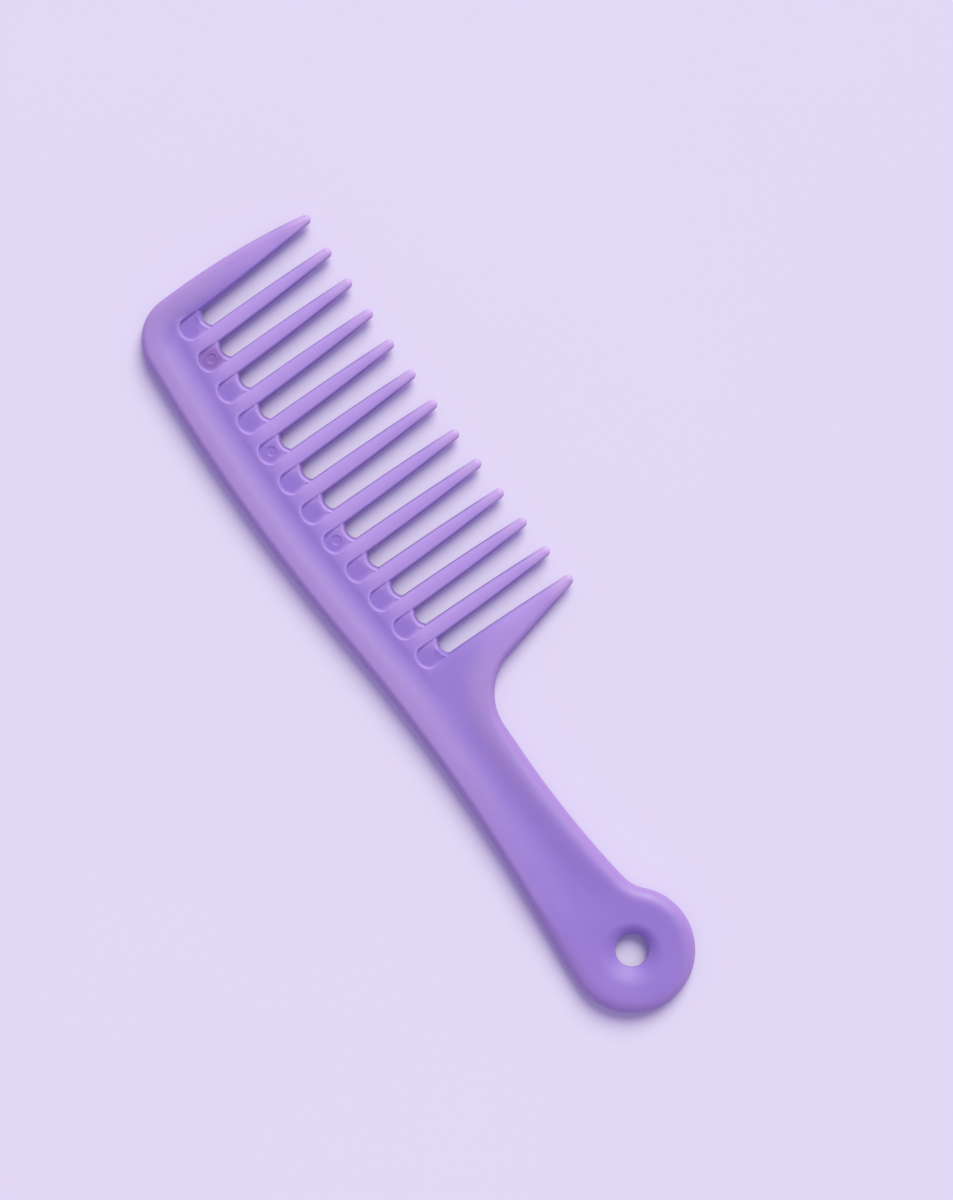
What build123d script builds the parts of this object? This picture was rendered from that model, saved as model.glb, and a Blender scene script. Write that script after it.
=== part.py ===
from build123d import *
import os
from math import atan2, cos, degrees, radians, sin, sqrt, tan

# Wide tooth comb with a handle and a hanging eye, one plastic moulding, in millimetres.
# Origin: centre of the hanging eye, halfway through the thickness.
# +X runs along the comb out of the handle's end, +Y the way the teeth point, +Z out of the
# face that carries the ejector marks. Both faces are alike apart from those marks.
# The moulding is given as regions that meet face to face: the spine along the back, a web
# in the foot of each gap, the thirteen teeth, the handle and the hanging eye.

# ---- overall
overall_length = 240.0    # head end to the end of the eye
head_depth = 60.7         # lowest point of the back to the lowest point of the tip line
eye_axis_height = 19.8    # the eye's axis above the lowest point of the back

# ---- edge curves
back_radius = 570.0       # convex back of the head
back_low = 51.3           # head end to the lowest point of the back
back_reach = 56.0         # from there to where the back turns hollow, into the handle
end_radius = 216.0        # convex end edge, outside the first tooth
end_bulge = 24.5          # its outermost point, above the lowest point of the back
corner_radius = 13.0      # between the end edge and the back
butt_radius = 250.0       # convex run from the handle's hollow into the eye
butt_angle = -91.5        # where that run meets the eye's circle
tip_radius = 1110.0       # hollow line through the tips
tip_low = 34.7            # head end to the lowest point of that line

# ---- handle and eye
grip_width = 20.6         # handle's narrowest, just past the throat
neck_x = -19.4            # a point on the handle's upper edge, before the eye
neck_height = 9.3
grip_flat = 0.19          # straight share of the upper edge between throat and neck
eye_radius = 17.5
eye_blend = 10.5          # hollow between the handle's upper edge and the eye
hole_radius = 4.65
hole_flare = 1.6          # round of the hole's mouth, on both faces
throat_radius = 16.0      # hollow between the last tooth and the handle
heel_length = 27.9        # last gap's centre to the end of the throat
heel_angle = 13.9         # last tooth's outer edge, off the Y axis

# ---- thickness
rim_half = 3.0            # half thickness of the rim round the edge
face_half = 2.2           # of the face inside the rim, and of the teeth's roots
web_half = 1.3            # of the web in a pocket
tip_half = 1.4            # of the teeth at their tips
edge_round = 2.6          # rim's outer edges
rim_width = 5.0           # edge to where the rim starts to fall
rim_foot = 9.0            # edge to where it has fallen to the face

# ---- teeth and gaps
gap_count = 12
first_gap = 11.3          # head end to the first gap's centre
pitch = 10.18
root_gap = 5.0            # gap's width at its root, at mid thickness
draft_angle = 14.0        # teeth narrow this many degrees from mid thickness to the faces
tip_width = 2.9
tooth_bulge = 0.2         # sides curve out by this
first_lean = -1.15        # tips stand this far from their roots, at the two end teeth
last_lean = -0.43
gap_root = 19.5           # back edge to the bottom of a gap
gap_round = 3.2           # radius of that bottom
pocket_bottom = 12.4      # back edge to the bottom of a pocket
pocket_width = 6.0
mark_radius = 1.5         # ejector marks, on one face only
mark_depth = 0.15
marked_pockets = (2, 5, 8)

# ---- derived places
head_end = eye_radius - overall_length
back_y = -eye_axis_height
back_centre = Vector(head_end + back_low, back_y + back_radius)
end_centre = Vector(head_end + end_radius, back_y + end_bulge)
tip_y = back_y + head_depth
tip_x = head_end + tip_low
gap_xs = [head_end + first_gap + pitch * i for i in range(gap_count)]
throat_x = gap_xs[-1] + heel_length
root_width = pitch - root_gap
tip_end = tip_width / 2
pocket_end = pocket_width / 2
spine_depth = pocket_bottom + pocket_end
through = 4 * rim_half                 # longer than any thickness
open_top = tip_y + 20.0                # well past the tips


def meet(centre_a, radius_a, centre_b, radius_b, side):
    """The point where two circles cross, on the given side of the line from a to b."""
    line = centre_b - centre_a
    along = (line.length ** 2 + radius_a ** 2 - radius_b ** 2) / (2 * line.length)
    across = sqrt(radius_a ** 2 - along ** 2)
    unit = line.normalized()
    return centre_a + unit * along + Vector(-unit.Y, unit.X) * across * side


def toward(centre, other, radius):
    """The point on a circle round centre that faces the other point."""
    return centre + (other - centre).normalized() * radius


def arc(centre, radius, start, end, turn):
    """Draws the arc from start to end, anticlockwise for a turn of 1, clockwise for -1."""
    start_angle = degrees(atan2(start.Y - centre.Y, start.X - centre.X))
    end_angle = degrees(atan2(end.Y - centre.Y, end.X - centre.X))
    size = (turn * (end_angle - start_angle)) % 360
    CenterArc(centre, radius, start_angle, turn * size)


# ---- centres of the edge's arcs, each touching its neighbours
eye_centre = Vector(0, 0)
corner_centre = meet(
    end_centre, end_radius - corner_radius, back_centre, back_radius - corner_radius, 1
)
back_turn = Vector(back_reach / back_radius, -sqrt(1 - (back_reach / back_radius) ** 2))
back_end = back_centre + back_turn * back_radius
butt_turn = Vector(cos(radians(butt_angle)), sin(radians(butt_angle)))
butt_centre = eye_centre - butt_turn * (butt_radius - eye_radius)
reach = back_end - butt_centre
hollow_radius = (butt_radius ** 2 - reach.length ** 2) / (2 * (reach.dot(back_turn) - butt_radius))
hollow_centre = back_end + back_turn * hollow_radius


def back_at(x):
    """Height of the back edge at x."""
    if x < back_end.X:
        return back_centre.Y - sqrt(back_radius ** 2 - (x - back_centre.X) ** 2)
    return hollow_centre.Y + sqrt(hollow_radius ** 2 - (x - hollow_centre.X) ** 2)


def tips_at(x):
    """Height of the line through the tips at x."""
    return tip_y + tip_radius - sqrt(tip_radius ** 2 - (x - tip_x) ** 2)


grip_x = throat_x + grip_flat * (neck_x - throat_x)
grip_y = back_at(grip_x) + grip_width
rise = neck_height - grip_y
upper_radius = ((neck_x - grip_x) ** 2 + rise ** 2) / (2 * rise)
upper_centre = Vector(grip_x, grip_y + upper_radius)
blend_centre = meet(upper_centre, upper_radius - eye_blend, eye_centre, eye_radius + eye_blend, -1)
throat_centre = Vector(throat_x, grip_y + throat_radius)
heel_normal = Vector(-cos(radians(heel_angle)), -sin(radians(heel_angle)))


def heel_at(y):
    """The last tooth's outer edge at height y."""
    touch = throat_centre + heel_normal * throat_radius
    return touch.X - (y - touch.Y) * tan(radians(heel_angle))


def end_at(y):
    """The first tooth's outer edge at height y."""
    return end_centre.X - sqrt(end_radius ** 2 - (y - end_centre.Y) ** 2)


def edge_line(inset, top):
    """Draws the comb's edge, moved in by inset and left open above the teeth up to top."""
    end_top = Vector(
        end_centre.X - sqrt((end_radius - inset) ** 2 - (top - end_centre.Y) ** 2), top
    )
    end_foot = toward(end_centre, corner_centre, end_radius - inset)
    back_start = toward(back_centre, corner_centre, back_radius - inset)
    turn_point = back_centre + back_turn * (back_radius - inset)
    butt_start = toward(hollow_centre, butt_centre, hollow_radius + inset)
    eye_start = eye_centre + butt_turn * (eye_radius - inset)
    eye_end = toward(eye_centre, blend_centre, eye_radius - inset)
    upper_end = toward(upper_centre, blend_centre, upper_radius + inset)
    upper_start = Vector(grip_x, grip_y - inset)
    throat_end = Vector(throat_x, grip_y - inset)
    throat_start = throat_centre + heel_normal * (throat_radius + inset)
    heel_top = Vector(throat_start.X - (top - throat_start.Y) * tan(radians(heel_angle)), top)
    arc(end_centre, end_radius - inset, end_top, end_foot, 1)
    arc(corner_centre, corner_radius - inset, end_foot, back_start, 1)
    arc(back_centre, back_radius - inset, back_start, turn_point, 1)
    arc(hollow_centre, hollow_radius + inset, turn_point, butt_start, -1)
    arc(butt_centre, butt_radius - inset, butt_start, eye_start, 1)
    arc(eye_centre, eye_radius - inset, eye_start, eye_end, 1)
    arc(blend_centre, eye_blend + inset, eye_end, upper_end, -1)
    arc(upper_centre, upper_radius + inset, upper_end, upper_start, -1)
    Line(upper_start, throat_end)
    arc(throat_centre, throat_radius + inset, throat_end, throat_start, -1)
    Line(throat_start, heel_top)
    Line(heel_top, end_top)


# ---- the whole plate: rim all round, lower face inside it, open above the teeth
fall = (rim_foot - rim_width) / (rim_half - face_half)
pool_top = rim_half + 0.2              # just clear of the rim, on the same slope
pool_inset = rim_width - 0.2 * fall

with BuildPart() as pool:
    with BuildSketch(Plane.XY.offset(face_half)):
        with BuildLine():
            edge_line(rim_foot, open_top)
        make_face()
    with BuildSketch(Plane.XY.offset(pool_top)):
        with BuildLine():
            edge_line(pool_inset, open_top)
        make_face()
    loft(ruled=True)

with BuildPart() as eye_cutter:
    with BuildSketch(Plane.XZ):
        with BuildLine():
            flare = hole_radius + hole_flare
            Polyline((hole_radius, 0), (0, 0), (0, pool_top), (flare, pool_top), (flare, face_half))
            RadiusArc((flare, face_half), (hole_radius, face_half - hole_flare), hole_flare)
            Line((hole_radius, face_half - hole_flare), (hole_radius, 0))
        make_face()
    revolve(axis=Axis.Z)
    mirror(about=Plane.XY)

with BuildPart() as plate:
    with BuildSketch():
        with BuildLine():
            edge_line(0, open_top - 5)
        make_face()
    extrude(amount=rim_half, both=True)
    rim_edges = plate.edges().group_by(Axis.Z)[0] + plate.edges().group_by(Axis.Z)[-1]
    fillet(rim_edges.filter_by(lambda e: e.center().Y < open_top - 6), edge_round)
    add(pool.part, mode=Mode.SUBTRACT)
    add(mirror(pool.part, about=Plane.XY, mode=Mode.PRIVATE), mode=Mode.SUBTRACT)
    add(eye_cutter.part, mode=Mode.SUBTRACT)

# ---- cutters shared by the regions
with BuildPart() as above_spine:       # everything past the spine, as far as the handle
    with BuildSketch():
        with BuildLine():
            left = head_end - 5.0
            spine_arc = back_radius - spine_depth
            turn_point = back_centre + back_turn * spine_arc
            left_foot = Vector(
                left, back_centre.Y - sqrt(spine_arc ** 2 - (left - back_centre.X) ** 2)
            )
            hollow_arc = hollow_radius + spine_depth
            right_foot = Vector(
                throat_x, hollow_centre.Y + sqrt(hollow_arc ** 2 - (throat_x - hollow_centre.X) ** 2)
            )
            arc(back_centre, spine_arc, left_foot, turn_point, 1)
            arc(hollow_centre, hollow_arc, turn_point, right_foot, -1)
            Polyline(right_foot, (throat_x, open_top), (left, open_top), left_foot)
        make_face()
    extrude(amount=through, both=True)


def thin_to_tips(half):
    """A long wedge: half thick at the gap roots, tip_half at the tips, cut from the open block."""
    fall_start = back_at(gap_xs[-1]) + gap_root
    fall_end = tips_at(gap_xs[-1] + pitch / 2)
    with BuildPart() as wedge:
        with BuildSketch(Plane.YZ.offset(head_end - 5.0)):
            Polygon(
                (back_y - 5.0, half), (fall_start, half), (fall_end, tip_half),
                (fall_end, -tip_half), (fall_start, -half), (back_y - 5.0, -half),
                align=None,
            )
        extrude(amount=overall_length)
    return wedge.part


inner_wedge = thin_to_tips(face_half)
outer_wedge = thin_to_tips(rim_half)


def finish(region, name):
    """Names a region and writes its file."""
    region.label = name
    export_step(region, f"parts/{name}.step")


os.makedirs("parts", exist_ok=True)

# ---- teeth: each half narrows from mid thickness to its face
slant = tan(radians(draft_angle))
shoulder_drop = gap_root - pocket_bottom


def tooth_half(draw, half):
    """One half of a tooth in the open block, from outlines at mid thickness and at its face."""
    with BuildPart() as block:
        for height, narrow in ((0, 0), (half, half * slant)):
            with BuildSketch(Plane.XY.offset(height)):
                with BuildLine():
                    draw(narrow)
                make_face()
        loft(ruled=True)
    return block.part


def inner_outline(root_x, lean, narrow):
    """Draws an inner tooth, from below the spine's top to its round tip."""
    root_y = back_at(root_x) + pocket_bottom
    top = tips_at(root_x + lean)
    shoulder = top - tip_end
    slope = (root_width - tip_width) / 2 / (shoulder - root_y - shoulder_drop)
    spread = root_width / 2 + slope * shoulder_drop - narrow
    end = tip_end - narrow
    left_root, right_root = (root_x - spread, root_y), (root_x + spread, root_y)
    left_tip, right_tip = (root_x + lean - end, shoulder), (root_x + lean + end, shoulder)
    SagittaArc(left_root, left_tip, tooth_bulge)
    ThreePointArc(left_tip, (root_x + lean, top - narrow), right_tip)
    SagittaArc(right_tip, right_root, tooth_bulge)
    Line(right_root, left_root)


foot = back_y
end_root = Vector(gap_xs[0] - root_gap / 2, back_at(gap_xs[0]) + gap_root)
end_tip = Vector(end_at(tips_at(head_end) - tip_end) + tip_end, tips_at(head_end) - tip_end)
heel_root = Vector(gap_xs[-1] + root_gap / 2, back_at(gap_xs[-1]) + gap_root)
heel_top = tips_at(gap_xs[-1] + pitch / 2) - tip_end
heel_tip = Vector(heel_at(heel_top) - tip_end / cos(radians(heel_angle)), heel_top)


def end_outline(narrow):
    """Draws the first tooth, past the plate's own edge on its outer side."""
    inner = end_root - Vector(narrow, 0)
    inner_tip = end_tip + Vector(tip_end - narrow, 0)
    outside = end_tip + Vector(-2 * tip_end, -tip_end / 2 - narrow)
    Polyline(inner, (inner.X, foot), (end_tip.X - 4 * pitch, foot), outside)
    ThreePointArc(outside, end_tip + Vector(0, tip_end - narrow), inner_tip)
    SagittaArc(inner_tip, inner, tooth_bulge)


def heel_outline(narrow):
    """Draws the last tooth, past the throat and the plate's own edge on its outer side."""
    inner = heel_root + Vector(narrow, 0)
    inner_tip = heel_tip - Vector(tip_end - narrow, 0)
    outside = heel_tip + Vector(2 * tip_end, -tip_end / 2 - narrow)
    Polyline(outside, (throat_x + 4 * pitch, foot), (inner.X, foot), inner)
    SagittaArc(inner, inner_tip, tooth_bulge)
    ThreePointArc(inner_tip, heel_tip + Vector(0, tip_end - narrow), outside)


teeth = []
for k in range(1, gap_count):
    middle = gap_xs[k - 1] + pitch / 2
    lean = first_lean + (last_lean - first_lean) * (k - 1) / (gap_count - 2)
    half_block = tooth_half(lambda narrow: inner_outline(middle, lean, narrow), face_half)
    with BuildPart() as tooth:
        add(half_block)
        mirror(about=Plane.XY)
        add(above_spine.part, mode=Mode.INTERSECT)
        add(inner_wedge, mode=Mode.INTERSECT)
    finish(tooth.part, f"tooth_{k + 1:02d}")
    teeth.append(tooth.part)

guards = []
for name, draw in (("tooth_01_end", end_outline), ("tooth_13_heel", heel_outline)):
    half_block = tooth_half(draw, rim_half)
    with BuildPart() as tooth:
        add(half_block)
        mirror(about=Plane.XY)
        add(above_spine.part, mode=Mode.INTERSECT)
        add(outer_wedge, mode=Mode.INTERSECT)
        add(plate.part, mode=Mode.INTERSECT)
    finish(tooth.part, name)
    guards.append(tooth.part)

# ---- webs: the thin floor of the pocket at the foot of each gap
pockets = []
neighbours = [guards[0]] + teeth + [guards[1]]
for i, x in enumerate(gap_xs):
    centre_y = back_at(x) + pocket_bottom + pocket_end
    root = back_at(x) + gap_root
    lip = gap_round - sqrt(gap_round ** 2 - pocket_end ** 2)
    with BuildPart() as web:
        with BuildSketch():
            with BuildLine():
                left_wall = Line((x - pocket_end, root + lip), (x - pocket_end, centre_y))
                ThreePointArc(left_wall @ 1, (x, centre_y - pocket_end), (x + pocket_end, centre_y))
                right_wall = Line((x + pocket_end, centre_y), (x + pocket_end, root + lip))
                ThreePointArc(right_wall @ 1, (x, root), left_wall @ 0)
            make_face()
        extrude(amount=web_half, both=True)
        add(neighbours[i], mode=Mode.SUBTRACT)
        add(neighbours[i + 1], mode=Mode.SUBTRACT)
        if i + 1 in marked_pockets:
            with BuildSketch(Plane.XY.offset(web_half)):
                with Locations((x, centre_y)):
                    Circle(mark_radius)
                    Circle(mark_radius - 2 * mark_depth, mode=Mode.SUBTRACT)
            extrude(amount=-mark_depth, mode=Mode.SUBTRACT)
    finish(web.part, f"gap_web_{i + 1:02d}")
    with BuildPart() as pocket:
        with BuildSketch():
            with Locations((x, centre_y)):
                Circle(pocket_end)
            with Locations((x, centre_y + pocket_width)):
                Rectangle(pocket_width, 2 * pocket_width)
        extrude(amount=through, both=True)
    pockets.append(pocket.part)

# ---- spine: the back of the head, with a notch for each web
with BuildPart() as spine:
    add(plate.part)
    split(bisect_by=Plane.YZ.offset(throat_x), keep=Keep.BOTTOM)
    add(above_spine.part, mode=Mode.SUBTRACT)
    add(pockets, mode=Mode.SUBTRACT)
finish(spine.part, "spine")

# ---- handle and hanging eye
with BuildPart() as handle:
    add(plate.part)
    split(bisect_by=Plane.YZ.offset(throat_x), keep=Keep.TOP)
    split(bisect_by=Plane.YZ.offset(neck_x), keep=Keep.BOTTOM)
finish(handle.part, "handle")

with BuildPart() as eye:
    add(plate.part)
    split(bisect_by=Plane.YZ.offset(neck_x), keep=Keep.TOP)
finish(eye.part, "hanging_eye")
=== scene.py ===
from math import atan2, ceil, cos, pi, radians, sin, sqrt

import bpy
import numpy as np
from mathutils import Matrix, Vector
from mathutils.geometry import delaunay_2d_cdt
from mathutils.kdtree import KDTree


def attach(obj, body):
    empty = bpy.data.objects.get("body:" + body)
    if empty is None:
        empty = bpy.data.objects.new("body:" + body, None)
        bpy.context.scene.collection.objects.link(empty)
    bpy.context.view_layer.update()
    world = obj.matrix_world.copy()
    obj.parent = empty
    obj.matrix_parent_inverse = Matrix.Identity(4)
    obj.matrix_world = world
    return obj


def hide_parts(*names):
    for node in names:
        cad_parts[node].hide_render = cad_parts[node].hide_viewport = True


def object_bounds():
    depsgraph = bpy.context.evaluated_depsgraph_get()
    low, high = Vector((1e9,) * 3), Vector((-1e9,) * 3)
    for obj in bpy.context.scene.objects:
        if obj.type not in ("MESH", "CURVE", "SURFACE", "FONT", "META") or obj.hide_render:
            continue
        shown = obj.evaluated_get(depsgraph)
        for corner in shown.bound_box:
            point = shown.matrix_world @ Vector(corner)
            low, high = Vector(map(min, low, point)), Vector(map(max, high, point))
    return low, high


# Wide tooth comb, one satin lavender moulding, lying on a pale table. Everything is in metres.
# +X runs out of the handle's end, +Y the way the teeth point, +Z up, origin in the hanging eye.

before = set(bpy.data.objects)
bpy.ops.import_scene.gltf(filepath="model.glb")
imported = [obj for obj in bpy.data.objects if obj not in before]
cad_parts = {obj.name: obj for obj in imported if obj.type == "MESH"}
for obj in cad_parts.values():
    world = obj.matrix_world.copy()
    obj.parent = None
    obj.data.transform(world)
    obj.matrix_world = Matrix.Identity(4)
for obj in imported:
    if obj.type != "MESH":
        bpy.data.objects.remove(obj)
cadLow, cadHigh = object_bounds()
print("frame loaded:", len(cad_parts), "CAD nodes")

# what a user would change on the comb
comb = {
    # edge seen from above
    "eyeRadius": 0.0175,
    "backRadius": 0.570, "backLow": 0.0513, "backReach": 0.056,
    "endRadius": 0.216, "endBulge": 0.0245, "cornerRadius": 0.013,
    "buttRadius": 0.250, "buttAngle": -91.5,
    "tipRadius": 1.110, "tipLow": 0.0347, "headDepth": 0.0607,
    "gripWidth": 0.0206, "neckX": -0.0194, "neckHeight": 0.0093, "gripFlat": 0.19,
    "eyeBlend": 0.0105, "throatRadius": 0.016, "heelLength": 0.0279, "heelAngle": 13.9,
    # teeth, gaps and pockets
    "gapCount": 12, "firstGap": 0.0113, "pitch": 0.01018, "rootGap": 0.0050,
    "tipWidth": 0.0029, "toothBulge": 0.0002, "firstLean": -0.00115, "lastLean": -0.00043,
    "gapRoot": 0.0195, "gapRound": 0.0032, "pocketBottom": 0.01272, "pocketRound": 0.0029,
    "markedPockets": (2, 5, 8), "markRise": 0.0031, "stainedPocket": 2,
    # hanging hole
    "holeRadius": 0.00465, "mouthLean": 0.26, "mouthSide": -53.0,
    # how finely the surface is divided
    "edgeStep": 0.0007, "curveTurn": 12.0, "grid": 0.0009,
}

# edge of the comb, seen from above
headEnd, backY = cadLow.x, cadLow.y
eyeCentre = np.array([cadHigh.x - comb["eyeRadius"], 0.0])


def polar(angle):
    return np.array([cos(angle), sin(angle)])


def unit(vector):
    return vector / np.linalg.norm(vector)


def crossing(centreA, radiusA, centreB, radiusB, side):  # where two circles cross
    line = centreB - centreA
    length = np.linalg.norm(line)
    along = (length ** 2 + radiusA ** 2 - radiusB ** 2) / (2 * length)
    across = sqrt(radiusA ** 2 - along ** 2)
    direction = line / length
    return centreA + direction * along + np.array([-direction[1], direction[0]]) * across * side


def arcPoints(centre, radius, start, end, turn):  # from start up to, not including, end
    a = atan2(start[1] - centre[1], start[0] - centre[0])
    b = atan2(end[1] - centre[1], end[0] - centre[0])
    sweep = (turn * (b - a)) % (2 * pi)
    count = max(2, ceil(max(sweep * radius / comb["edgeStep"], sweep / radians(comb["curveTurn"]))))
    return [centre + radius * polar(a + turn * sweep * i / count) for i in range(count)]


def sidePoints(start, end, bulge):  # a tooth's side, bowed to its right by bulge
    chord = end - start
    normal = unit(np.array([chord[1], -chord[0]]))
    count = ceil(np.linalg.norm(chord) / comb["edgeStep"])
    steps = [i / count for i in range(count)]
    return [start + chord * t + normal * 4 * bulge * t * (1 - t) for t in steps]


backCentre = np.array([headEnd + comb["backLow"], backY + comb["backRadius"]])
endCentre = np.array([headEnd + comb["endRadius"], backY + comb["endBulge"]])
cornerCentre = crossing(endCentre, comb["endRadius"] - comb["cornerRadius"],
                        backCentre, comb["backRadius"] - comb["cornerRadius"], 1)
reachShare = comb["backReach"] / comb["backRadius"]
backTurn = np.array([reachShare, -sqrt(1 - reachShare ** 2)])
backEnd = backCentre + backTurn * comb["backRadius"]
buttTurn = polar(radians(comb["buttAngle"]))
buttCentre = eyeCentre - buttTurn * (comb["buttRadius"] - comb["eyeRadius"])
reach = backEnd - buttCentre
hollowRadius = (comb["buttRadius"] ** 2 - reach @ reach) / (
    2 * (reach @ backTurn - comb["buttRadius"]))
hollowCentre = backEnd + backTurn * hollowRadius


def backAt(x):
    if x < backEnd[0]:
        return backCentre[1] - sqrt(comb["backRadius"] ** 2 - (x - backCentre[0]) ** 2)
    return hollowCentre[1] + sqrt(hollowRadius ** 2 - (x - hollowCentre[0]) ** 2)


def tipsAt(x):
    lowest = backY + comb["headDepth"]
    return lowest + comb["tipRadius"] - sqrt(
        comb["tipRadius"] ** 2 - (x - headEnd - comb["tipLow"]) ** 2)


gapXs = [headEnd + comb["firstGap"] + comb["pitch"] * i for i in range(comb["gapCount"])]
throatX = gapXs[-1] + comb["heelLength"]
gripX = throatX + comb["gripFlat"] * (comb["neckX"] - throatX)
gripY = backAt(gripX) + comb["gripWidth"]
rise = comb["neckHeight"] - gripY
upperRadius = ((comb["neckX"] - gripX) ** 2 + rise ** 2) / (2 * rise)
upperCentre = np.array([gripX, gripY + upperRadius])
blendCentre = crossing(upperCentre, upperRadius - comb["eyeBlend"],
                       eyeCentre, comb["eyeRadius"] + comb["eyeBlend"], -1)
throatCentre = np.array([throatX, gripY + comb["throatRadius"]])
heelTurn = radians(comb["heelAngle"])
heelNormal = np.array([-cos(heelTurn), -sin(heelTurn)])
heelFoot = throatCentre + heelNormal * comb["throatRadius"]
heelUp = np.array([-sin(heelTurn), cos(heelTurn)])

tipEnd = comb["tipWidth"] / 2
halfGap = comb["rootGap"] / 2
rootRise = comb["gapRound"] - sqrt(comb["gapRound"] ** 2 - halfGap ** 2)
pocketDrop = sqrt(comb["pocketRound"] ** 2 - halfGap ** 2)
rootYs = [backAt(x) + comb["gapRoot"] for x in gapXs]
pocketYs = [backAt(x) + comb["pocketBottom"] + comb["pocketRound"] for x in gapXs]
rightCorners = [np.array([x + halfGap, y + rootRise]) for x, y in zip(gapXs, rootYs)]
leftCorners = [np.array([x - halfGap, y + rootRise]) for x, y in zip(gapXs, rootYs)]

# middle of each tooth's round tip
tipCentres = []
firstY = tipsAt(headEnd) - tipEnd
firstOut = comb["endRadius"] - tipEnd
firstX = endCentre[0] - sqrt(firstOut ** 2 - (firstY - endCentre[1]) ** 2)
tipCentres.append(np.array([firstX, firstY]))
for k in range(1, comb["gapCount"]):
    middle = gapXs[k - 1] + comb["pitch"] / 2
    lean = comb["firstLean"] + (comb["lastLean"] - comb["firstLean"]) * (k - 1) / (
        comb["gapCount"] - 2)
    tipCentres.append(np.array([middle + lean, tipsAt(middle + lean) - tipEnd]))
lastY = tipsAt(gapXs[-1] + comb["pitch"] / 2) - tipEnd
lastInner = heelFoot + heelNormal * tipEnd
tipCentres.append(lastInner + heelUp * (lastY - lastInner[1]) / heelUp[1])


def tangentPoint(root, tipCentre, bulge):  # where a tooth's bowed side runs into its round tip
    point = tipCentre
    for _ in range(6):
        chord = point - root
        normal = unit(np.array([chord[1], -chord[0]]))
        direction = chord - normal * 4 * bulge
        outward = unit(np.array([direction[1], -direction[0]])) * np.sign(bulge)
        point = tipCentre + outward * tipEnd
    return point


teeth = []
for k, tipCentre in enumerate(tipCentres):
    if k == comb["gapCount"]:
        rightEnd = tipCentre - heelNormal * tipEnd
    else:
        rightEnd = tangentPoint(leftCorners[k], tipCentre, comb["toothBulge"])
    if k == 0:
        leftEnd = tipCentre + unit(tipCentre - endCentre) * tipEnd
    else:
        leftEnd = tangentPoint(rightCorners[k - 1], tipCentre, -comb["toothBulge"])
    teeth.append((rightEnd, leftEnd, arcPoints(tipCentre, tipEnd, rightEnd, leftEnd, 1)))

# the outer edge, one chain of arcs from the first tooth's tip round to the last one's
endFoot = endCentre + unit(cornerCentre - endCentre) * comb["endRadius"]
backStart = backCentre + unit(cornerCentre - backCentre) * comb["backRadius"]
buttStart = hollowCentre + unit(buttCentre - hollowCentre) * hollowRadius
eyeStart = eyeCentre + buttTurn * comb["eyeRadius"]
eyeFar = eyeCentre + np.array([comb["eyeRadius"], 0.0])
eyeEnd = eyeCentre + unit(blendCentre - eyeCentre) * comb["eyeRadius"]
upperEnd = upperCentre + unit(blendCentre - upperCentre) * upperRadius
upperStart = np.array([gripX, gripY])
throatEnd = np.array([throatX, gripY])
lastRight = teeth[-1][0]

endChain = arcPoints(endCentre, comb["endRadius"], teeth[0][1], endFoot, 1)
backChain = arcPoints(cornerCentre, comb["cornerRadius"], endFoot, backStart, 1)
backChain += arcPoints(backCentre, comb["backRadius"], backStart, backEnd, 1)
backChain += arcPoints(hollowCentre, hollowRadius, backEnd, buttStart, -1)
backChain += arcPoints(buttCentre, comb["buttRadius"], buttStart, eyeStart, 1)
backChain += arcPoints(eyeCentre, comb["eyeRadius"], eyeStart, eyeFar, 1)
upperChain = arcPoints(eyeCentre, comb["eyeRadius"], eyeFar, eyeEnd, 1)
upperChain += arcPoints(blendCentre, comb["eyeBlend"], eyeEnd, upperEnd, -1)
upperChain += arcPoints(upperCentre, upperRadius, upperEnd, upperStart, -1)
upperChain += sidePoints(upperStart, throatEnd, 0.0)
upperChain += arcPoints(throatCentre, comb["throatRadius"], throatEnd, heelFoot, -1)
upperChain += sidePoints(heelFoot, lastRight, 0.0)

# teeth and gaps, from the last tooth back to the first: once with the gaps' true ends,
# once with the pockets' ends in their place, which is where the teeth's flanks run
toothEdge, flankChain, rootArcs = [], [], []
for k in range(comb["gapCount"], -1, -1):
    rightEnd, leftEnd, tipArc = teeth[k]
    toothEdge += tipArc
    flankChain += tipArc
    if k == 0:
        break
    i = k - 1
    right, left = rightCorners[i], leftCorners[i]
    down = sidePoints(leftEnd, right, comb["toothBulge"])
    up = sidePoints(left, teeth[i][0], comb["toothBulge"])
    rootArc = arcPoints(np.array([gapXs[i], rootYs[i] + comb["gapRound"]]),
                        comb["gapRound"], right, left, -1)
    pocketCentre = np.array([gapXs[i], pocketYs[i]])
    pocketRight = pocketCentre + np.array([halfGap, -pocketDrop])
    pocketLeft = pocketCentre + np.array([-halfGap, -pocketDrop])
    pocketArc = arcPoints(pocketCentre, comb["pocketRound"], pocketRight, pocketLeft, -1)
    toothEdge += down + rootArc + up
    flankChain += down + sidePoints(right, pocketRight, 0.0) + pocketArc
    flankChain += sidePoints(pocketLeft, left, 0.0) + up
    rootArcs.append(rootArc + [left])
flankChain.append(teeth[0][1])
outline = np.array(endChain + backChain + upperChain + toothEdge)
# a full turn less a hair, because an arc leaves out its own end
hole = np.array(arcPoints(eyeCentre, comb["holeRadius"], eyeCentre + [comb["holeRadius"], 0],
                          eyeCentre + [comb["holeRadius"] * cos(-0.001), -1e-6], 1))
endChain = np.array(endChain + [endFoot])
backChain = np.array(backChain + [eyeFar])
upperChain = np.array(upperChain + [lastRight])
flankChain = np.array(flankChain)
print("edge drawn:", len(outline), "points")


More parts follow.
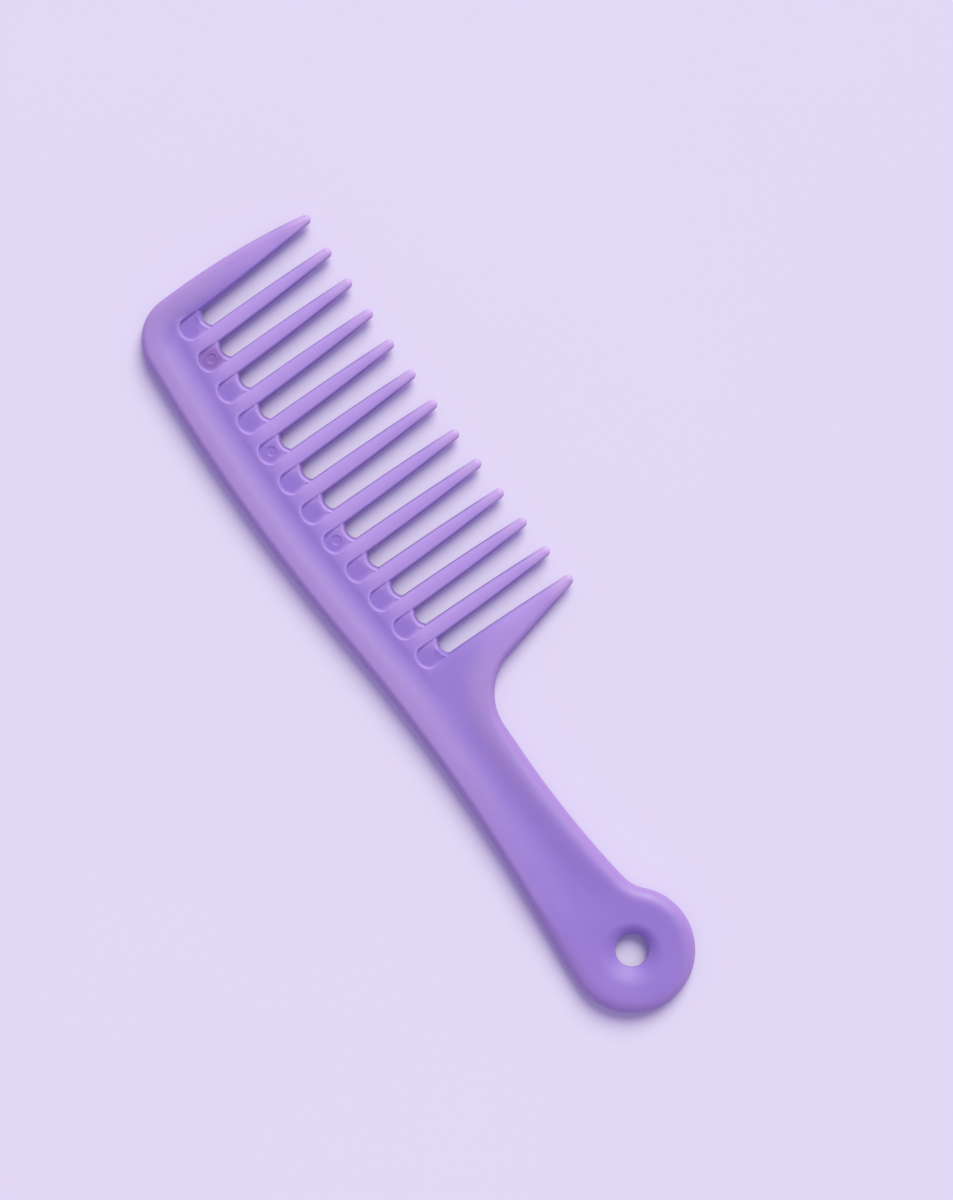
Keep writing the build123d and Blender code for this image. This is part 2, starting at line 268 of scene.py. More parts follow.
# distances on the plan, which the shaping rule reads
def distanceTo(points, chain, block=1500):
    start, run = chain[:-1], chain[1:] - chain[:-1]
    square = np.maximum((run ** 2).sum(1), 1e-18)
    nearest = np.empty(len(points))
    for first in range(0, len(points), block):
        offset = points[first:first + block, None, :] - start[None]
        share = np.clip((offset * run).sum(2) / square, 0, 1)
        gap = offset - share[..., None] * run
        nearest[first:first + block] = np.sqrt((gap ** 2).sum(2).min(1))
    return nearest


def insideOf(points, loop):
    inside = np.zeros(len(points), bool)
    for a, b in zip(loop, np.roll(loop, -1, 0)):
        if a[1] == b[1]:
            continue
        spans = (a[1] > points[:, 1]) != (b[1] > points[:, 1])
        sideX = (b[0] - a[0]) * (points[:, 1] - a[1]) / (b[1] - a[1]) + a[0]
        inside ^= spans & (points[:, 0] < sideX)
    return inside


fade = {  # where each mask starts, and how far it takes to fade
    "taperRun": 0.016,                                  # teeth's taper, ahead of the throat
    "heelStart": 0.012, "heelRun": 0.010,               # painted light on the teeth, fading out ahead of the throat
    "faceStart": 0.0075, "faceRun": 0.006,              # painted light on the teeth, starting behind the gaps' ends
    "outerStart": 0.002, "outerRun": 0.020, "outerShare": 0.85,  # the same on the outer teeth
    "pocketStart": 0.0028, "pocketRun": 0.0018,         # the same in the pockets, whose deep floors keep the darker colour as painted shade
    "lipMiddle": 0.0009, "lipRun": 0.0008,              # painted highlight on the lips, beside the flanks
    "footStart": 0.001, "footRun": 0.003,               # lips at the pockets' feet
    "edgeHighlightRun": 0.0042,                                  # painted highlight along the outer edge
    "stainWidth": 0.0034, "stainLength": 0.0040, "stainUp": 0.0003, "stainFull": 1.25,
}
noGap, noMark = -0.001, 1.0  # distances where there is no gap or mark nearby
tiny = 1e-6
markPlaces = []
for number in comb["markedPockets"]:
    markY = rootYs[number - 1] - comb["gapRoot"] + comb["pocketBottom"] + comb["markRise"]
    markPlaces.append(np.array([gapXs[number - 1], markY]))


def measure(points):
    x, y = points[:, 0], points[:, 1]
    inSlot = np.zeros(len(points), bool)
    rootDistance = np.full(len(points), noGap)
    footShare = np.zeros(len(points))
    for gapX, rootY, pocketY in zip(gapXs, rootYs, pocketYs):
        near = abs(x - gapX) < comb["pitch"] / 2
        below = np.hypot(x - gapX, y - pocketY) < comb["pocketRound"]
        upright = (y > pocketY - pocketDrop) & (y < rootY + rootRise)
        inSlot |= (abs(x - gapX) < halfGap) & (upright | below)
        arcY = rootY + comb["gapRound"]
        span = np.hypot(x - gapX, y - arcY) - comb["gapRound"]
        rootDistance = np.where(near & (y < arcY), span, rootDistance)
        footRise = np.clip((pocketY + fade["footStart"] - y) / fade["footRun"], 0, 1) * near
        footShare = np.maximum(footShare, footRise)
    backs = np.array([backAt(value) for value in x])
    tips = np.array([tipsAt(value) for value in x])
    roots = backs + comb["gapRoot"]
    markDistance = np.full(len(points), noMark)
    for markX, markY in markPlaces:
        markDistance = np.minimum(markDistance, np.hypot(x - markX, y - markY))
    beforeThroat = np.clip((throatX - x) / fade["taperRun"], 0, 1)
    beforeHeel = np.clip((throatX - fade["heelStart"] - x) / fade["heelRun"], 0, 1)
    # painted light on the teeth and lips, with the deep pocket floors kept darker as painted shade
    onFace = np.clip((y - roots + fade["faceStart"]) / fade["faceRun"], 0, 1)
    onOuter = np.clip((y - roots - fade["outerStart"]) / fade["outerRun"], 0, 1) * fade["outerShare"]
    inPocket = np.clip((y - roots + fade["pocketStart"]) / fade["pocketRun"], 0, 1)
    toothLightShare = np.where((x < gapXs[0]) | (x > gapXs[-1]), onOuter, onFace)
    toothLightShare = np.where(inSlot, np.minimum(toothLightShare, inPocket), toothLightShare)
    flankDistance = distanceTo(points, flankChain) * np.where(inSlot, -1, 1)
    lipHighlightShare = np.clip(1 - abs(flankDistance - fade["lipMiddle"]) / fade["lipRun"], 0, 1) * footShare
    toothLightShare = np.maximum(toothLightShare * beforeHeel, lipHighlightShare)
    endDistance, backDistance = distanceTo(points, endChain), distanceTo(points, backChain)
    upperDistance = distanceTo(points, upperChain)
    edgeDistance = np.minimum(np.minimum(endDistance, backDistance), upperDistance)
    fromEye = np.stack([x - eyeCentre[0], y - eyeCentre[1]], 1)
    eyeDistance = np.hypot(*fromEye.T)
    leaning = fromEye @ polar(radians(comb["mouthSide"])) / np.maximum(eyeDistance, tiny)
    stained = comb["stainedPocket"] - 1
    stain = np.hypot((x - gapXs[stained]) / fade["stainWidth"],
                     (y - pocketYs[stained] - fade["stainUp"]) / fade["stainLength"])
    return {
        "endDistance": endDistance, "backDistance": backDistance, "upperDistance": upperDistance,
        # painted highlight along the outer edge
        "edgeHighlightShare": np.clip(1 - edgeDistance / fade["edgeHighlightRun"], 0, 1),
        "flankDistance": flankDistance,
        "rootDistance": rootDistance,
        "footShare": footShare,
        "holeDistance": (eyeDistance - comb["holeRadius"]) / (1 + comb["mouthLean"] * leaning),
        "tipShare": np.clip((y - roots) / (tips - roots), 0, 1) * beforeThroat,
        "toothLightShare": toothLightShare,
        "markDistance": markDistance,
        "stainShare": np.clip(fade["stainFull"] - stain, 0, 1),
    }


# flat mesh of the plan, finer where the surface turns quickly
def offsetChain(chain, closed, inset):  # the chain moved in to its left by inset
    if closed:
        run = np.roll(chain, -1, 0) - np.roll(chain, 1, 0)
    else:
        run = np.gradient(chain, axis=0)
    normal = np.stack([-run[:, 1], run[:, 0]], 1)
    return chain + normal / np.linalg.norm(normal, axis=1)[:, None] * inset


points, edges = [], []


def addChain(chain, closed, keep):
    first = len(points)
    number = {}
    for i, kept in enumerate(keep):
        if kept:
            number[i] = first + len(number)
            points.append(chain[i])
    for i in number:
        j = (i + 1) % len(chain) if closed else i + 1
        if j in number:
            edges.append((number[i], number[j]))


# rings laid beside the edges, by their distances from them
rings = {
    "flank": (0.00008, 0.0002, 0.00033, 0.00045, 0.0006, 0.00078, 0.001, 0.0013),
    "rim": (0.00014, 0.00018, 0.00026, 0.0004, 0.0006, 0.0009, 0.0013, 0.0018, 0.0024, 0.003),
    "root": (0.00008, 0.0002, 0.0004, 0.00065, 0.00095, 0.0013),
    "hole": (0.00003, 0.00012, 0.00028, 0.0005, 0.0008, 0.0012, 0.0017, 0.0023, 0.003, 0.0037),
    "mark": (0.0009, 0.00105, 0.0012, 0.00135, 0.0015, 0.00165, 0.0018),  # radii
    "turnPoints": 72, "markStep": 3,
    "folded": 0.97,        # a ring's point nearer to its own edge than this share is dropped
    "apart": 0.00035,      # from the other kind of edge
    "rootApart": 0.00012, "holeApart": 0.00002,
    "gridApart": 0.45,     # share of the grid, from a filling point to a ring's
}


def insideComb(candidates):
    fromEye = np.hypot(*(candidates - eyeCentre).T)
    return insideOf(candidates, outline) & (fromEye > comb["holeRadius"] + rings["holeApart"])


addChain(outline, True, [True] * len(outline))
addChain(hole, True, [True] * len(hole))
edgeChain = np.vstack([endChain[:-1], backChain[:-1], upperChain])
for chain, other, insets in ((edgeChain, flankChain, rings["rim"]),
                             (flankChain, edgeChain, rings["flank"])):
    for inset in insets:
        ring = offsetChain(chain, False, inset)
        keep = distanceTo(ring, chain) > inset * rings["folded"]
        keep &= distanceTo(ring, other) > rings["apart"]
        addChain(ring, False, keep & insideComb(ring))
for rootArc in rootArcs:
    for inset in rings["root"]:
        ring = offsetChain(np.array(rootArc), False, inset)
        keep = (distanceTo(ring, flankChain) > rings["rootApart"]) & insideComb(ring)
        addChain(ring, False, keep)
turn = np.linspace(0, 2 * pi, rings["turnPoints"], endpoint=False)
circle = np.stack([np.cos(turn), np.sin(turn)], 1)
for grow in rings["hole"]:
    addChain(eyeCentre + circle * (comb["holeRadius"] + grow), True, [True] * len(circle))
for markPlace in markPlaces:
    for radius in rings["mark"]:
        ring = markPlace + circle[::rings["markStep"]] * radius
        addChain(ring, True, [True] * len(ring))

tree = KDTree(len(points))
for i, point in enumerate(points):
    tree.insert((point[0], point[1], 0.0), i)
tree.balance()
grid = comb["grid"]
rows = np.arange(cadLow.y, cadHigh.y, grid * sqrt(3) / 2)
filler = []
for r, y in enumerate(rows):
    for x in np.arange(cadLow.x + grid / 2 * (r % 2), cadHigh.x, grid):
        filler.append((x, y))
filler = np.array(filler)
filler = filler[insideComb(filler)]
for x, y in filler:
    if tree.find((x, y, 0.0))[2] > grid * rings["gridApart"]:
        points.append(np.array([x, y]))

samePoint = 1e-8
flat = delaunay_2d_cdt([Vector(point) for point in points], edges, [], 0, samePoint, False)
flatPoints = np.array([tuple(v) for v in flat[0]])
triangles = np.array(flat[2])
middles = flatPoints[triangles].mean(1)
triangles = triangles[insideOf(middles, outline) & ~insideOf(middles, hole)]
used, triangles = np.unique(triangles, return_inverse=True)
flatPoints, triangles = flatPoints[used], triangles.reshape(-1, 3)
print("plan divided:", len(flatPoints), "points,", len(triangles), "triangles")

planMesh = bpy.data.meshes.new("combPlan")
planMesh.from_pydata([(x, y, 0.0) for x, y in flatPoints], [], triangles.tolist())
planMesh.update()
sides = {}
for triangle in triangles:
    for a, b in zip(triangle, np.roll(triangle, -1)):
        sides[min(a, b), max(a, b)] = sides.get((min(a, b), max(a, b)), 0) + 1
inner = np.ones(len(flatPoints))
for pair, count in sides.items():
    if count == 1:
        inner[list(pair)] = 0
measured = measure(flatPoints)
measured["inner"] = inner
for name, values in measured.items():
    attribute = planMesh.attributes.new(name, "FLOAT", "POINT")
    attribute.data.foreach_set("value", np.asarray(values, np.float32))


# node helpers
def put(tree, target, value):  # a link or a plain value into a socket
    if isinstance(value, bpy.types.NodeSocket):
        tree.links.new(value, target)
    else:
        target.default_value = value


def calc(tree, operation, *values):
    node = tree.nodes.new("ShaderNodeMath")
    node.operation = operation
    for socket, value in zip(node.inputs, values):
        put(tree, socket, value)
    return node.outputs[0]


def ease(tree, value, low, high, start=0.0, end=1.0):  # smooth step from start to end
    node = tree.nodes.new("ShaderNodeMapRange")
    node.interpolation_type = "SMOOTHSTEP"
    for socket, item in zip(node.inputs, (value, low, high, start, end)):
        put(tree, socket, item)
    return node.outputs[0]


def newGroup(name, kind, inputs, outputs):
    group = bpy.data.node_groups.new(name, kind)
    for socketName, socketType, value in inputs:
        socket = group.interface.new_socket(socketName, in_out="INPUT", socket_type=socketType)
        if value is not None:
            socket.default_value = value
    for socketName, socketType in outputs:
        group.interface.new_socket(socketName, in_out="OUTPUT", socket_type=socketType)
    source, sink = group.nodes.new("NodeGroupInput"), group.nodes.new("NodeGroupOutput")
    return group, source.outputs, sink.inputs


# the shaping rule: raises the plan into both faces of the moulding
shape = {  # heights are half thicknesses
    "Rim Height": cadHigh.z,
    "Side Wall": 0.00035,          # of the outer edge, beside the parting line
    "Edge Round": 0.0016,          # of the head's outer edges and the handle's back edge
    "Handle Round": 0.0040,        # of the handle's upper edge and the eye
    "Valley Height": 0.00184,      # hollow between the rim and the teeth
    "Face Height": 0.00206,        # at the teeth's feet
    "Eye Height": 0.00272,         # flat face round the hanging hole
    "Dish Depth": 0.00095,         # of the handle's hollow, below its rims
    "Dish Start": 0.0029,          # back edge to where the hollow starts
    "Dish End": 0.0043,            # upper edge to where it ends
    "Dish Skew": 1.20,             # over 1, its bottom lies nearer to the upper edge
    "Dish Curve": 1.4,             # over 1, its sides start more gently
    "Tip Height": 0.00135,
    "Web Height": 0.00145,         # pocket's floor beside the gap
    "Web Start": 0.0012,           # gap's end to where the floor starts to fall, and its lip
    "Web Fall": 0.085,             # it falls towards the back by this slope
    "Crest": 0.0032,               # outer edge to where the rim starts to slope down
    "Crest Foot": 0.0105,          # outer edge to the bottom of that slope
    "Shoulder": 0.0122,            # outer edge to where the face is back at full height
    "Flank Slope": 4.0,            # rise over run of the teeth's flanks
    "Flank Round": 0.0015,
    "Crown": 0.00042,              # teeth's faces bow up by this
    "Crown Run": 0.0026,           # flank to where the bow is full
    "Root Slope": 1.9,             # rise over run of the floor's edge at a gap's end
    "Root Round": 0.0010,
    "Mouth Wall": 0.0007,          # straight part of the hanging hole, each side of the middle
    "Mouth Round": 0.0043,
    "Mouth Curve": 1.75,           # 1 is a cone, more bulges
    "Flash Width": 0.00016,        # fine line left by the mould's parting
    "Flash Height": 0.00006,
    "Lip Height": 0.00026,         # raised rounding at a pocket's foot and over a gap's end
    "Lip Middle": 0.00085,         # flank to the middle of the foot's rounding
    "Lip Width": 0.0006,           # from its middle to where it ends
    "Join Round": 0.0001,          # between a tooth's flank and the pocket's floor
    "Mark Depth": 0.00020,         # round marks left by the ejector pins
    "Mark Radius": 0.0014,
    "Mark Edge": 0.00012,
    "Mark Lip": 0.0003,
}
zone = {  # along X, from where one section starts to turn into the next to where it has
    "eye": (-0.036, -0.010),
    "handle": (throatX - 0.029, throatX - 0.006),
    "handleRound": (throatX - 0.012, throatX + 0.012),
    "eyeRound": (-0.032, -0.006),
    "paleHighlight": (throatX - 0.02, -0.012),
}
group, given, result = newGroup(
    "Raise Moulding", "GeometryNodeTree",
    [("Geometry", "NodeSocketGeometry", None)]
    + [(name, "NodeSocketFloat", value) for name, value in shape.items()]
    + [("Material", "NodeSocketMaterial", None)],
    [("Geometry", "NodeSocketGeometry")])


def field(name):
    node = group.nodes.new("GeometryNodeInputNamedAttribute")
    node.data_type = "FLOAT"
    node.inputs["Name"].default_value = name
    return node.outputs["Attribute"]


def rest(share):  # what is left of 1
    return calc(group, "SUBTRACT", 1.0, share)


def blend(share, first, second):  # first at 0, second at 1
    return calc(group, "MULTIPLY_ADD", share, calc(group, "SUBTRACT", second, first), first)


def mixed(share, first, second):  # the same, exact at both ends
    return calc(group, "ADD", calc(group, "MULTIPLY", second, share),
                calc(group, "MULTIPLY", first, rest(share)))


def ridge(distance, middle, width, full=1.0):  # full at the middle, 0 past the width
    away = calc(group, "ABSOLUTE", calc(group, "SUBTRACT", distance, middle))
    return ease(group, away, 0.0, width, full, 0.0)


def roundEdge(distance, width):  # quarter round, 0 at the edge and 1 past its width
    left = rest(calc(group, "MINIMUM", calc(group, "DIVIDE", distance, width), 1.0))
    quarter = rest(calc(group, "MULTIPLY", left, left))
    return calc(group, "SQRT", calc(group, "MAXIMUM", quarter, 0.0))


position = group.nodes.new("GeometryNodeInputPosition")
xyz = group.nodes.new("ShaderNodeSeparateXYZ")
group.links.new(position.outputs[0], xyz.inputs[0])
alongX = xyz.outputs["X"]
inEye = ease(group, alongX, *zone["eye"])
pastTeeth = ease(group, alongX, *zone["handle"])
inHandle = calc(group, "MULTIPLY", pastTeeth, rest(inEye))
backNear = calc(group, "MINIMUM", field("backDistance"), field("endDistance"))
edgeNear = calc(group, "MINIMUM", backNear, field("upperDistance"))

# the head has a rim along its edge, then a valley, then the face that the teeth run out of
backRim = ease(group, backNear, given["Crest"], given["Crest Foot"], 1.0, 0.0)
upperRim = ease(group, field("upperDistance"), given["Crest"], given["Crest Foot"], 1.0, 0.0)
rim = rest(calc(group, "MULTIPLY", rest(backRim), rest(upperRim)))
shoulder = ease(group, backNear, given["Crest Foot"], given["Shoulder"])
shoulder = calc(group, "MULTIPLY", shoulder, rest(pastTeeth))
floorHeight = blend(shoulder, given["Valley Height"], given["Face Height"])
floorHeight = blend(inEye, floorHeight, given["Eye Height"])
ringed = blend(rim, floorHeight, given["Rim Height"])

# the handle's hollow runs from one rim to the other in one curve
hollowRun = calc(group, "SUBTRACT", field("backDistance"), given["Dish Start"])
edgeToEdge = calc(group, "ADD", field("backDistance"), field("upperDistance"))
hollowWidth = calc(group, "SUBTRACT", edgeToEdge,
                   calc(group, "ADD", given["Dish Start"], given["Dish End"]))
across = calc(group, "MINIMUM", calc(group, "DIVIDE", hollowRun, hollowWidth), 1.0)
across = calc(group, "POWER", calc(group, "MAXIMUM", across, 0.0), given["Dish Skew"])
sag = calc(group, "SINE", calc(group, "MULTIPLY", across, pi))
sag = calc(group, "POWER", calc(group, "MAXIMUM", sag, 0.0), given["Dish Curve"])
dished = calc(group, "SUBTRACT", given["Rim Height"],
              calc(group, "MULTIPLY", sag, given["Dish Depth"]))
body = mixed(inHandle, ringed, dished)

# the teeth grow thinner towards their tips, and their faces bow up
body = mixed(field("tipShare"), body, given["Tip Height"])
bow = calc(group, "DIVIDE", field("flankDistance"), given["Crown Run"])
bow = rest(calc(group, "MINIMUM", bow, 1.0))
bow = calc(group, "MULTIPLY", calc(group, "MULTIPLY", bow, bow), given["Crown"])
body = calc(group, "SUBTRACT", body, bow)

# the outer edge is rounded, more widely on the handle's upper side and round the eye
upperShare = calc(group, "ADD", calc(group, "ADD", backNear, field("upperDistance")), tiny)
upperShare = calc(group, "DIVIDE", backNear, upperShare)
wide = calc(group, "MULTIPLY", upperShare, ease(group, alongX, *zone["handleRound"]))
wide = calc(group, "MAXIMUM", wide, ease(group, alongX, *zone["eyeRound"]))
roundWidth = blend(wide, given["Edge Round"], given["Handle Round"])
pastFlash = calc(group, "SUBTRACT", edgeNear, given["Flash Width"])
edgeRise = roundEdge(calc(group, "MAXIMUM", pastFlash, 0.0), roundWidth)
rounded = blend(edgeRise, given["Side Wall"], body)
onFlash = calc(group, "LESS_THAN", edgeNear, given["Flash Width"])
rounded = mixed(onFlash, rounded, given["Flash Height"])
flank = calc(group, "MULTIPLY", field("flankDistance"), given["Flank Slope"])
face = calc(group, "SMOOTH_MIN", rounded, flank, given["Flank Round"])

# the hanging hole's rounded mouth
mouth = calc(group, "DIVIDE", field("holeDistance"), given["Mouth Round"])
mouth = rest(calc(group, "MINIMUM", mouth, 1.0))
mouth = rest(calc(group, "POWER", calc(group, "MAXIMUM", mouth, 0.0), given["Mouth Curve"]))
face = calc(group, "MINIMUM", face, blend(mouth, given["Mouth Wall"], face))

# the pockets' thin floors, and the roundings at their feet and over the gaps' ends
webFloor = calc(group, "SUBTRACT", field("rootDistance"), given["Web Start"])
webFloor = calc(group, "MULTIPLY", calc(group, "MAXIMUM", webFloor, 0.0), given["Web Fall"])
webFloor = calc(group, "SUBTRACT", given["Web Height"], webFloor)
web = calc(group, "MULTIPLY", field("rootDistance"), given["Root Slope"])
web = calc(group, "SMOOTH_MIN", web, webFloor, given["Root Round"])
footLip = ridge(field("flankDistance"), given["Lip Middle"], given["Lip Width"])
footLip = calc(group, "MULTIPLY", footLip, field("footShare"))
face = calc(group, "MULTIPLY_ADD", footLip, given["Lip Height"], face)
rootLip = ridge(field("rootDistance"), given["Web Start"], given["Lip Width"])
web = calc(group, "MULTIPLY_ADD", rootLip, given["Lip Height"], web)
height = calc(group, "SMOOTH_MAX", face, web, given["Join Round"])
height = calc(group, "MULTIPLY", calc(group, "MAXIMUM", height, 0.0), field("inner"))

# the marks lie on the upper face only
markIn = ease(group, field("markDistance"),
              calc(group, "SUBTRACT", given["Mark Radius"], given["Mark Edge"]),
              calc(group, "ADD", given["Mark Radius"], given["Mark Edge"]), 1.0, 0.0)
markLip = ridge(field("markDistance"), given["Mark Radius"], given["Mark Lip"], 0.5)
markDrop = calc(group, "MULTIPLY", calc(group, "SUBTRACT", markIn, markLip), given["Mark Depth"])
topHeight = calc(group, "SUBTRACT", height, markDrop)
bottomHeight = calc(group, "MULTIPLY", height, -1.0)


def raised(value):
    offset = group.nodes.new("ShaderNodeCombineXYZ")
    group.links.new(value, offset.inputs["Z"])
    move = group.nodes.new("GeometryNodeSetPosition")
    group.links.new(given["Geometry"], move.inputs["Geometry"])
    group.links.new(offset.outputs[0], move.inputs["Offset"])
    return move.outputs["Geometry"]


flip = group.nodes.new("GeometryNodeFlipFaces")
group.links.new(raised(bottomHeight), flip.inputs["Mesh"])
join = group.nodes.new("GeometryNodeJoinGeometry")
group.links.new(raised(topHeight), join.inputs[0])
group.links.new(flip.outputs[0], join.inputs[0])
weld = group.nodes.new("GeometryNodeMergeByDistance")
weld.inputs["Distance"].default_value = tiny
group.links.new(join.outputs[0], weld.inputs["Geometry"])
smooth = group.nodes.new("GeometryNodeSetShadeSmooth")
group.links.new(weld.outputs[0], smooth.inputs[0])
real = group.nodes.new("GeometryNodeRealizeInstances")
group.links.new(smooth.outputs[0], real.inputs[0])
dress = group.nodes.new("GeometryNodeSetMaterial")
group.links.new(real.outputs[0], dress.inputs["Geometry"])
group.links.new(given["Material"], dress.inputs["Material"])
group.links.new(dress.outputs[0], result["Geometry"])

# finishes
grainGroup, grainIn, grainOut = newGroup(
    "Surface Grain", "ShaderNodeTree",
    [("Grain Size", "NodeSocketFloat", 0.0006), ("Cloud Size", "NodeSocketFloat", 0.03)],
    [("Grain", "NodeSocketFloat"), ("Cloud", "NodeSocketFloat"), ("Scuff", "NodeSocketFloat")])
coordinates = grainGroup.nodes.new("ShaderNodeTexCoord")


def noise(size, detail, stretch=(1.0, 1.0, 1.0)):
    mapping = grainGroup.nodes.new("ShaderNodeMapping")
    mapping.inputs["Scale"].default_value = stretch
    grainGroup.links.new(coordinates.outputs["Object"], mapping.inputs["Vector"])
    node = grainGroup.nodes.new("ShaderNodeTexNoise")
    node.inputs["Detail"].default_value = detail
    node.inputs["Roughness"].default_value = 0.55
    grainGroup.links.new(mapping.outputs[0], node.inputs["Vector"])
    put(grainGroup, node.inputs["Scale"], calc(grainGroup, "DIVIDE", 1.0, size))
    return node.outputs["Fac"]


put(grainGroup, grainOut["Grain"], noise(grainIn["Grain Size"], 2.0))
put(grainGroup, grainOut["Cloud"], noise(grainIn["Cloud Size"], 3.0))
scuffSize = calc(grainGroup, "MULTIPLY", grainIn["Cloud Size"], 0.25)
put(grainGroup, grainOut["Scuff"], noise(scuffSize, 5.0, (0.35, 1.0, 1.0)))


def newMaterial(name):
    material = bpy.data.materials.new(name)
    material.use_nodes = True
    nodes = material.node_tree.nodes
    return material, material.node_tree, nodes["Principled BSDF"]


def placeGrain(tree, grainSize, cloudSize):
    node = tree.nodes.new("ShaderNodeGroup")
    node.node_tree = grainGroup
    node.inputs["Grain Size"].default_value = grainSize
    node.inputs["Cloud Size"].default_value = cloudSize
    return node.outputs


def mixColour(tree, share, first, second):
    node = tree.nodes.new("ShaderNodeMix")
    node.data_type = "RGBA"
    put(tree, node.inputs[0], share)
    put(tree, node.inputs[6], first)
    put(tree, node.inputs[7], second)
    return node.outputs[2]


def bumpInto(tree, shader, height, distance, strength):
    node = tree.nodes.new("ShaderNodeBump")
    node.inputs["Strength"].default_value = strength
    node.inputs["Distance"].default_value = distance
    put(tree, node.inputs["Height"], height)
    tree.links.new(node.outputs[0], shader.inputs["Normal"])


lavender = {
    "main": (0.306, 0.191, 0.635, 1.0),
    "warm": (0.322, 0.197, 0.632, 1.0), "warmFrom": (0.35, 0.65),
    # painted highlight: high places of the head paler
    "paleHighlight": (0.385, 0.250, 0.640, 1.0), "paleHighlightHeight": (0.0018, 0.0029),
    # painted highlight along the outer edges
    "edge": (0.445, 0.262, 0.645, 1.0), "edgeHighlightShare": 0.7,
    # painted shade: dark along the middle of the teeth's flanks
    "line": (0.180, 0.100, 0.400, 1.0), "lineHeight": (0.0005, 0.0014), "lineShare": 0.75,
    # painted light: teeth paler as if lit through the thin plastic, lips paler as painted highlight,
    # deep pocket floors left darker as painted shade
    "toothLight": (0.450, 0.290, 0.750, 1.0),
    # painted glow: tooth tips paler, as if lit through
    "tips": (0.600, 0.400, 0.780, 1.0), "tipsFrom": 0.75, "tipsShare": 0.85,
    "stain": (0.265, 0.125, 0.450, 1.0), "stainFull": 0.8, "stainShare": 0.7,
    "roughness": (0.40, 0.52), "scuffFrom": (0.3, 0.7),
    "grainSize": 0.00045, "cloudSize": 0.028, "grainDepth": 0.00004, "grainStrength": 0.25,
    "glow": 0.15, "glowRadius": (1.0, 0.7, 1.2), "glowScale": 0.0015, "ior": 1.49,
}
plastic, plasticTree, plasticShader = newMaterial("satinLavenderPlastic")
grain = placeGrain(plasticTree, lavender["grainSize"], lavender["cloudSize"])


def plasticField(name):
    node = plasticTree.nodes.new("ShaderNodeAttribute")
    node.attribute_name = name
    return node.outputs["Fac"]


def times(first, second):
    return calc(plasticTree, "MULTIPLY", first, second)


def tint(share, below, name):  # lays a named colour over the one below
    return mixColour(plasticTree, share, below, lavender[name])


coordinates = plasticTree.nodes.new("ShaderNodeTexCoord")
spot = plasticTree.nodes.new("ShaderNodeSeparateXYZ")
plasticTree.links.new(coordinates.outputs["Object"], spot.inputs[0])
heightHere = calc(plasticTree, "ABSOLUTE", spot.outputs["Z"])
colour = tint(ease(plasticTree, grain["Cloud"], *lavender["warmFrom"]), lavender["main"], "warm")
# painted highlight on the head's high places
paleHighlightMask = times(ease(plasticTree, heightHere, *lavender["paleHighlightHeight"]),
              ease(plasticTree, spot.outputs["X"], *zone["paleHighlight"], 1.0, 0.0))
colour = tint(paleHighlightMask, colour, "paleHighlight")
# painted light on the teeth and lips, painted shade on the deep pocket floors
colour = tint(plasticField("toothLightShare"), colour, "toothLight")
# painted highlight along the outer edge
colour = tint(times(plasticField("edgeHighlightShare"), lavender["edgeHighlightShare"]), colour, "edge")
# painted shade along the middle of the teeth's flanks
flankShadeMask = ease(plasticTree, heightHere, *lavender["lineHeight"], lavender["lineShare"], 0.0)
colour = tint(times(flankShadeMask, plasticField("toothLightShare")), colour, "line")
# painted glow at the tooth tips
tipGlowMask = ease(plasticTree, plasticField("tipShare"), lavender["tipsFrom"], 1.0)
colour = tint(times(tipGlowMask, lavender["tipsShare"]), colour, "tips")
stainMask = ease(plasticTree, plasticField("stainShare"), 0.0, lavender["stainFull"])
colour = tint(times(stainMask, lavender["stainShare"]), colour, "stain")
put(plasticTree, plasticShader.inputs["Base Color"], colour)
put(plasticTree, plasticShader.inputs["Roughness"],
    ease(plasticTree, grain["Scuff"], *lavender["scuffFrom"], *lavender["roughness"]))
bumpInto(plasticTree, plasticShader, grain["Grain"], lavender["grainDepth"], lavender["grainStrength"])
plasticShader.inputs["Subsurface Weight"].default_value = lavender["glow"]
plasticShader.inputs["Subsurface Radius"].default_value = lavender["glowRadius"]
plasticShader.inputs["Subsurface Scale"].default_value = lavender["glowScale"]
plasticShader.inputs["IOR"].default_value = lavender["ior"]

table = {
    "colour": (0.760, 0.690, 0.905, 1.0), "cloud": (0.775, 0.705, 0.915, 1.0), "size": 6.0,
    "roughness": (0.78, 0.88), "scuffFrom": (0.3, 0.7), "specular": 0.2,
    "grainSize": 0.0008, "cloudSize": 0.25, "grainDepth": 0.00005, "grainStrength": 0.15,
}
paper, paperTree, paperShader = newMaterial("paleLavenderPaper")
grain = placeGrain(paperTree, table["grainSize"], table["cloudSize"])
put(paperTree, paperShader.inputs["Base Color"],
    mixColour(paperTree, grain["Cloud"], table["colour"], table["cloud"]))
put(paperTree, paperShader.inputs["Roughness"],
    ease(paperTree, grain["Scuff"], *table["scuffFrom"], *table["roughness"]))
bumpInto(paperTree, paperShader, grain["Grain"], table["grainDepth"], table["grainStrength"])
paperShader.inputs["Specular IOR Level"].default_value = table["specular"]

